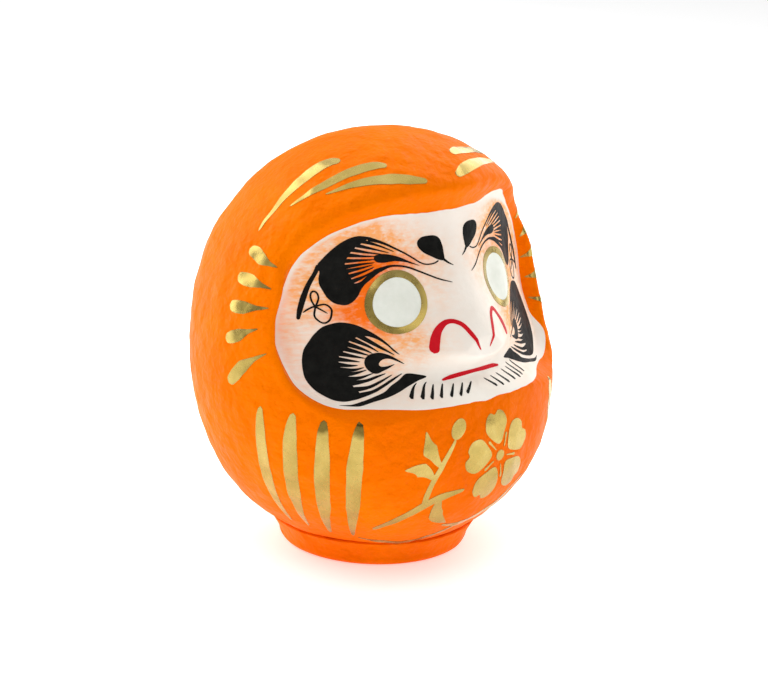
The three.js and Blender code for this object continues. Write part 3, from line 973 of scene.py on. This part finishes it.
def paint_face(ink, red, gold, white):
    for word, side in SIDES:
        def mark(outline, lift=MARK_LIFT, side=side):
            return patch(on_side(outline, side), lift)

        def line(path, widths, lift=STRAND_LIFT, side=side):
            return ribbon(on_side(path, side), widths, lift, spacing=0.4)

        brow = [mark(BROW_MASS), line(BROW_TAIL, BROW_TAIL_WIDTHS), line(BROW_TOP_LINE, BROW_TOP_WIDTHS)]
        brow += [line(BROW_LOWER_LINE, BROW_LOWER_WIDTHS), mark(BROW_HEART, TOP_MARK_LIFT)]
        brow += strands(BROW_STRANDS, side, [0.78, 0.34, 0.1])
        joined(f"brow_ink_{word}", brow, ink)
        dot = [mark(BROW_DOT), line(BROW_DOT_TAIL, [0.5, 0.3, 0.08])]
        joined(f"brow_dot_ink_{word}", dot, ink)
        cheek = [mark(CHEEK_MASS), mark(CHEEK_WEDGE), mark(CHEEK_PUPIL, TOP_MARK_LIFT)]
        for path in CHEEK_STRANDS:
            widths = [0.9, *np.linspace(0.45, 0.35, len(path) - 2), 0.1]
            cheek.append(line(rooted(path), widths))
        joined(f"cheek_ink_{word}", cheek, ink)
        curl = [line(TEMPLE_CURL, [0.15] + [0.27] * (len(TEMPLE_CURL) - 2) + [0.15])]
        joined(f"temple_curl_ink_{word}", curl, ink)
        whiskers = []
        for top, foot in WHISKERS:
            reach = 1.0 if side < 0 else LEFT_WHISKER_SHARE
            foot = (top[0] + reach * (foot[0] - top[0]), foot[1])
            whiskers.append(line([top, foot], [0.14, 0.4]))
        joined(f"whiskers_ink_{word}", whiskers, ink)
        joined(f"nostril_red_{word}", [line(NOSTRIL, NOSTRIL_WIDTHS)], red)
        centre, long_half, short_half, lean = EYES[word]["ring"]
        outer = ellipse(centre, long_half, short_half, math.radians(lean), 120)
        centre, long_half, short_half, lean = EYES[word]["white"]
        inner = start_like(ellipse(centre, long_half, short_half, math.radians(lean), 120), outer)
        white_edge = ellipse(centre, long_half + 0.4, short_half + 0.4, math.radians(lean), 40)
        joined(f"eye_white_{word}", [patch(white_edge, EYE_LIFT)], white)
        joined(f"eye_ring_gold_{word}", [ring_patch(outer, inner, RING_LIFT)], gold)
    joined("mouth_red", [ribbon(MOUTH, MOUTH_WIDTHS, STRAND_LIFT, spacing=0.4)], red)


# ---------------------------------------------------------------- gold strokes on the body
# Paths are (degrees round from the front, degrees of latitude), and the doll's left is positive.
# The belly strokes are given once, for both sides.

HOOD_STROKES = {
    "right": [
        [(-73.5, 66.6), (-80, 65.4), (-85, 61.8), (-88.5, 56), (-91, 49), (-93, 40.5)],
        [(-42.5, 67.3), (-51, 66.6), (-60, 64.3), (-69, 60.6), (-76, 56.3), (-80.5, 52.7), (-84.3, 49.3)],
        [(-19.5, 61.6), (-30, 62.3), (-40, 62.2), (-50, 61.2), (-58, 59.5), (-65, 57.3), (-71, 55)]],
    "left": [
        [(72.5, 67), (79, 65.6), (84, 62), (87.5, 56.5), (90, 50), (92, 42)],
        [(16, 70), (25, 70), (35, 69), (45, 67.2), (55, 64.6), (63, 61.2), (70, 57)],
        [(1.5, 62.4), (10, 63.7), (20, 64.2), (30, 63.8), (40, 62.6), (50, 60.6), (58, 58.4)]]}
HOOD_WIDTHS = [
    [1.3, 2.3, 2.4, 1.9, 1.1, 0.4],
    [1.2, 1.9, 2.1, 1.8, 1.5, 0.8, 0.3],
    [1.1, 2.1, 2.3, 1.9, 1.4, 0.8, 0.25]]
SIDE_DABS = {
    "right": [
        [(-92.6, 35.2), (-89, 34.7), (-86, 33.6), (-82.5, 32.9), (-78.6, 32.5)],
        [(-93.6, 27.3), (-90, 27.2), (-87, 27.1), (-83, 26.8), (-79.2, 26.5)],
        [(-93.4, 19.2), (-90.5, 19.4), (-87.5, 19.8), (-83, 20.5), (-78.8, 21.3)],
        [(-92.8, 9.7), (-90, 10.9), (-87.5, 12), (-84.5, 13.6), (-81.2, 15)],
        [(-90, -2.2), (-87.5, 0.6), (-85, 3.6), (-81.5, 6.3), (-77.5, 8.7)]],
    "left": [
        [(84, 37.5), (81, 36.9), (77.5, 36.1), (73, 35.2), (68.8, 34)],
        [(83, 30.8), (80, 30.4), (76.5, 29.8), (72.5, 28.9), (69.6, 27.6)],
        [(83, 23.9), (80, 23.4), (76.5, 22.6), (72.5, 21.5), (69.4, 20.5)],
        [(83, 15.4), (80, 15.2), (77, 15), (73.2, 14.6), (70.2, 14)],
        [(82, 4.4), (79, 5.3), (76.2, 6.2), (72.3, 7.2), (68.4, 7.7)]]}
DAB_WIDTHS = [1.6, 2.2, 2.1, 0.75, 0.15]
BELLY_STROKES = [
    [(78.6, -6.8), (79.0, -11), (79.5, -20), (80.2, -33), (80.8, -50)],
    [(68.5, -7.5), (69.2, -12), (70, -20), (71.2, -34), (73, -51)],
    [(59.4, -9.0), (59.7, -13.5), (60.2, -24), (61.4, -38), (63.4, -53.5)],
    [(48.6, -9.6), (49.2, -14), (50, -24), (51, -38), (52.8, -54)]]
BELLY_WIDTHS = np.array([0.8, 1.9, 2.7, 2.4, 0.45])
BACK_STROKE_SHARE = 0.82  # how wide the first stroke is next to the others
LEFT_BELLY_SHIFT = 6.5    # degrees nearer the front than on the right


def gold_strokes(name, paths, widths, spacing, roughness, seed, gold):
    """One piece of several strokes round the body, with the half-widths of each."""
    strokes = []
    for k, (path, path_widths) in enumerate(zip(paths, widths)):
        strokes.append(ribbon(path, path_widths, GOLD_LIFT, from_angles, spacing, roughness, seed + k))
    joined(name, strokes, gold)


def paint_body(gold, shaded_gold, dark_reflection_gold):
    for word, side in SIDES:
        hood, dabs = HOOD_STROKES[word], SIDE_DABS[word]
        # The hood strokes take a copy of the gold darkened all over as painted shade.
        gold_strokes(f"hood_strokes_gold_{word}", hood, HOOD_WIDTHS, 0.7, 0.03, 20, shaded_gold)
        gold_strokes(f"side_dabs_gold_{word}", dabs, [DAB_WIDTHS] * 5, 0.5, 0.03, 30, gold)
        shift = [LEFT_BELLY_SHIFT if side > 0 else 0.0, 0.0]
        placed = [np.array(path) * [side, 1] - shift for path in BELLY_STROKES]
        widths = [BELLY_WIDTHS * share for share in (BACK_STROKE_SHARE, 1, 1, 1)]
        # The belly strokes take the gold with a painted dark reflection at their tops.
        gold_strokes(f"belly_strokes_gold_{word}", placed, widths, 0.7, 0.025, 40, dark_reflection_gold)


# The belly's motif is a plain plum blossom on a twig, in a chart of millimetres across and up
# from a point on the belly.
MOTIF_THETA = -4.0
MOTIF_PHI = -30.0
MOTIF_REACH = 58.5    # the body's radius round the motif


PETAL = [                 # along and across it, for a flower of radius 1
    (0.27, 0.0), (0.42, 0.2), (0.66, 0.36), (0.9, 0.3), (1.0, 0.13), (0.93, 0.0), (1.0, -0.13),
    (0.9, -0.3), (0.66, -0.36), (0.42, -0.2)]
STAMEN_TURN = 0.63        # from a petal's middle, in radians


def on_belly(across, up):
    phi = MOTIF_PHI + np.degrees(np.asarray(up) / MOTIF_REACH)
    theta = MOTIF_THETA + np.degrees(np.asarray(across) / (MOTIF_REACH * np.cos(np.radians(phi))))
    return from_angles(theta, phi)


def blossom(centre, size, turn):
    """Five round petals, each with a notch at its tip, round a ring of stamens."""
    parts = []
    for k in range(5):
        angle = turn + 2 * math.pi * k / 5
        out = np.array([math.cos(angle), math.sin(angle)])
        side = np.array([-out[1], out[0]])
        outline = [centre + size * (along * out + across * side) for along, across in PETAL]
        parts.append(patch(outline, GOLD_LIFT, on_belly, 0.5, 1.0))
        between = out * math.cos(STAMEN_TURN) + side * math.sin(STAMEN_TURN)
        tip = centre + size * 0.2 * between
        end = centre + size * 0.52 * between
        parts.append(ribbon([tip, (tip + end) / 2, end], [0.2, 0.25, 0.5], GOLD_LIFT, on_belly, 0.4))
    heart = ellipse(centre, 0.12 * size, 0.12 * size, 0.0, 12)
    parts.append(patch(heart, GOLD_LIFT, on_belly, 0.4, 0.8))
    return parts


def motif(gold):
    parts = blossom(np.array([8.0, 3.5]), 14.5, math.radians(100))
    twig = [(-27.0, -19.0), (-20.0, -11.0), (-13.0, -6.5), (-5.0, -5.0)]
    parts.append(ribbon(twig, [0.9, 1.5, 1.3, 0.5], GOLD_LIFT, on_belly, 0.6, 0.12, 50))
    offshoot = [(-17.5, -8.5), (-17.0, 0.0), (-13.5, 8.0), (-11.5, 12.0)]
    parts.append(ribbon(offshoot, [0.9, 1.0, 0.8, 0.4], GOLD_LIFT, on_belly, 0.6, 0.12, 52))
    leaves = [
        [(-17.2, 0.5), (-22.0, 4.0), (-27.5, 4.5)],
        [(-15.5, 4.0), (-20.5, 10.0), (-23.0, 16.0)],
        [(-13.0, -6.5), (-11.5, -13.0), (-6.0, -18.0)]]
    for k, leaf in enumerate(leaves):
        parts.append(ribbon(leaf, [0.5, 2.2, 0.2], GOLD_LIFT, on_belly, 0.5, 0.08, 54 + k))
    bud = ellipse((-10.5, 15.0), 3.4, 2.8, -0.5, 16)
    parts.append(patch(bud, GOLD_LIFT, on_belly, 0.5, 1.0))
    joined("belly_blossom_gold", parts, gold)
    swooshes = [
        ribbon([(-51, -55.5), (-40, -57.5), (-28, -58), (-16, -55.5), (-6, -51)], [0.3, 0.9, 1.3, 1.4, 0.5],
               GOLD_LIFT, from_angles, 0.6, 0.12, 60),
        ribbon([(-14, -48.5), (-4, -50), (8, -48.5), (19, -44), (27, -37.5)], [0.5, 1.4, 1.5, 1.1, 0.3],
               GOLD_LIFT, from_angles, 0.6, 0.12, 62)]
    joined("belly_swooshes_gold", swooshes, gold)


# ---------------------------------------------------------------- camera, floor and light

VIEW_AZIMUTH = -44.0
VIEW_ELEVATION = 16.6
VIEW_ROLL = 2.0
VIEW_DISTANCE = 875.0
VIEW_TARGET = (0.0, 0.0, 70.0)
VIEW_SHIFT = (-1.86, 1.30)     # how far the target stands right of and above the picture's middle
VIEW_LENS = 117.2


def compass_direction(azimuth, elevation):
    """From the doll, azimuth turning from its front towards +X, both in radians."""
    level = math.cos(elevation)
    return Vector((math.sin(azimuth) * level, -math.cos(azimuth) * level, math.sin(elevation)))


def place_camera():
    azimuth, elevation, roll = (math.radians(v) for v in (VIEW_AZIMUTH, VIEW_ELEVATION, VIEW_ROLL))
    right = Vector((math.cos(azimuth), math.sin(azimuth), 0))
    forward = -compass_direction(azimuth, elevation)
    up = right.cross(forward)
    place = Vector(VIEW_TARGET) - VIEW_DISTANCE * forward - VIEW_SHIFT[0] * right - VIEW_SHIFT[1] * up
    turned_right = math.cos(roll) * right + math.sin(roll) * up
    turned_up = math.cos(roll) * up - math.sin(roll) * right
    axes = Matrix((turned_right, turned_up, -forward)).transposed().to_4x4()
    data = bpy.data.cameras.new("camera")
    data.lens = VIEW_LENS
    data.sensor_width = 36
    data.clip_start = 0.01
    camera = bpy.data.objects.new("camera", data)
    camera.matrix_world = Matrix.Translation(place * MM) @ axes
    bpy.context.scene.collection.objects.link(camera)
    bpy.context.scene.camera = camera


def soft_light(name, azimuth, elevation, distance, width, height, power):
    """A soft box aimed at the middle of the doll; degrees, metres and watts."""
    middle = Vector((0, 0, BODY_HEIGHT * MM / 2))
    outwards = compass_direction(math.radians(azimuth), math.radians(elevation))
    data = bpy.data.lights.new(name, "AREA")
    data.shape = "RECTANGLE"
    data.size = width
    data.size_y = height
    data.energy = power
    lamp = bpy.data.objects.new(name, data)
    lamp.location = middle + distance * outwards
    lamp.rotation_euler = outwards.to_track_quat("Z", "Y").to_euler()
    lamp.visible_camera = False
    bpy.context.scene.collection.objects.link(lamp)


def studio():
    scene = bpy.context.scene
    scene.view_settings.view_transform = "Standard"
    world = bpy.data.worlds.new("studio")
    world.use_nodes = True
    background = world.node_tree.nodes["Background"]
    background.inputs["Color"].default_value = (1.0, 1.0, 1.0, 1)
    background.inputs["Strength"].default_value = 0.31
    scene.world = world
    graph = Graph("floor")
    tone = graph.ramp(graph.noise(3.0), [(0.3, (0.93, 0.93, 0.93)), (0.7, (0.95, 0.95, 0.95))])
    mesh = bmesh.new()
    bmesh.ops.create_grid(mesh, x_segments=2, y_segments=2, size=6.0)
    data = bpy.data.meshes.new("floor")
    mesh.to_mesh(data)
    mesh.free()
    graph.shader.inputs["Emission Color"].default_value = (1.0, 1.0, 1.0, 1)
    graph.shader.inputs["Emission Strength"].default_value = 0.45
    data.materials.append(graph.surface(tone, 0.9))
    floor = bpy.data.objects.new("floor", data)
    floor.location.z = -0.0002
    scene.collection.objects.link(floor)
    soft_light("left_box", -156, 22, 0.9, 0.9, 1.2, 8.5)
    soft_light("right_box", 96, 28, 0.9, 0.9, 0.7, 5.2)
    soft_light("top_box", 180, 80, 1.0, 1.6, 1.6, 9.5)
    soft_light("front_box", -15, 40, 1.1, 0.6, 0.6, 1.3)


# ---------------------------------------------------------------- the whole doll

place_camera()

orange = orange_paint()
gold = gold_paint()
# In the black ink, the lighter patches of the mottle are a painted sheen.
ink = flat_paint("black_ink", (0.003, 0.003, 0.0027), (0.011, 0.011, 0.0095), 0.42, 0.55, 0.07)
red = flat_paint("red_paint", (0.55, 0.004, 0.012), (0.66, 0.008, 0.018), 0.38, 0.5, 0.1)
white = flat_paint("eye_white", (0.80, 0.83, 0.74), (0.87, 0.89, 0.81), 0.5, 0.6, 0.2)
paper = fibre_paper()
clay = dry_clay()

finish_piece(half_shell("shell_front", True), orange, ["front_shell"])
finish_piece(half_shell("shell_back", False), orange, ["back_shell"])
finish_piece(foot_piece(), orange, ["foot_ring"])
finish_piece(cover_piece(), paper, ["bottom_cover"])
for node, material in (("seam_strip_left", paper), ("seam_strip_crown", paper),
                       ("seam_strip_right", paper), ("weight_disc", clay)):
    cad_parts[node].data.materials.clear()
    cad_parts[node].data.materials.append(material)

face_panel(face_paint())
paint_face(ink, red, gold, white)
# The hood strokes get a gold darkened as painted shade, and the belly strokes a gold with a painted dark
# reflection.
paint_body(gold, gold_paint("gold_paint_painted_shade", tone=0.8), gold_paint("gold_paint_dark_reflection", painted_dark_reflection=True))
motif(gold)
studio()
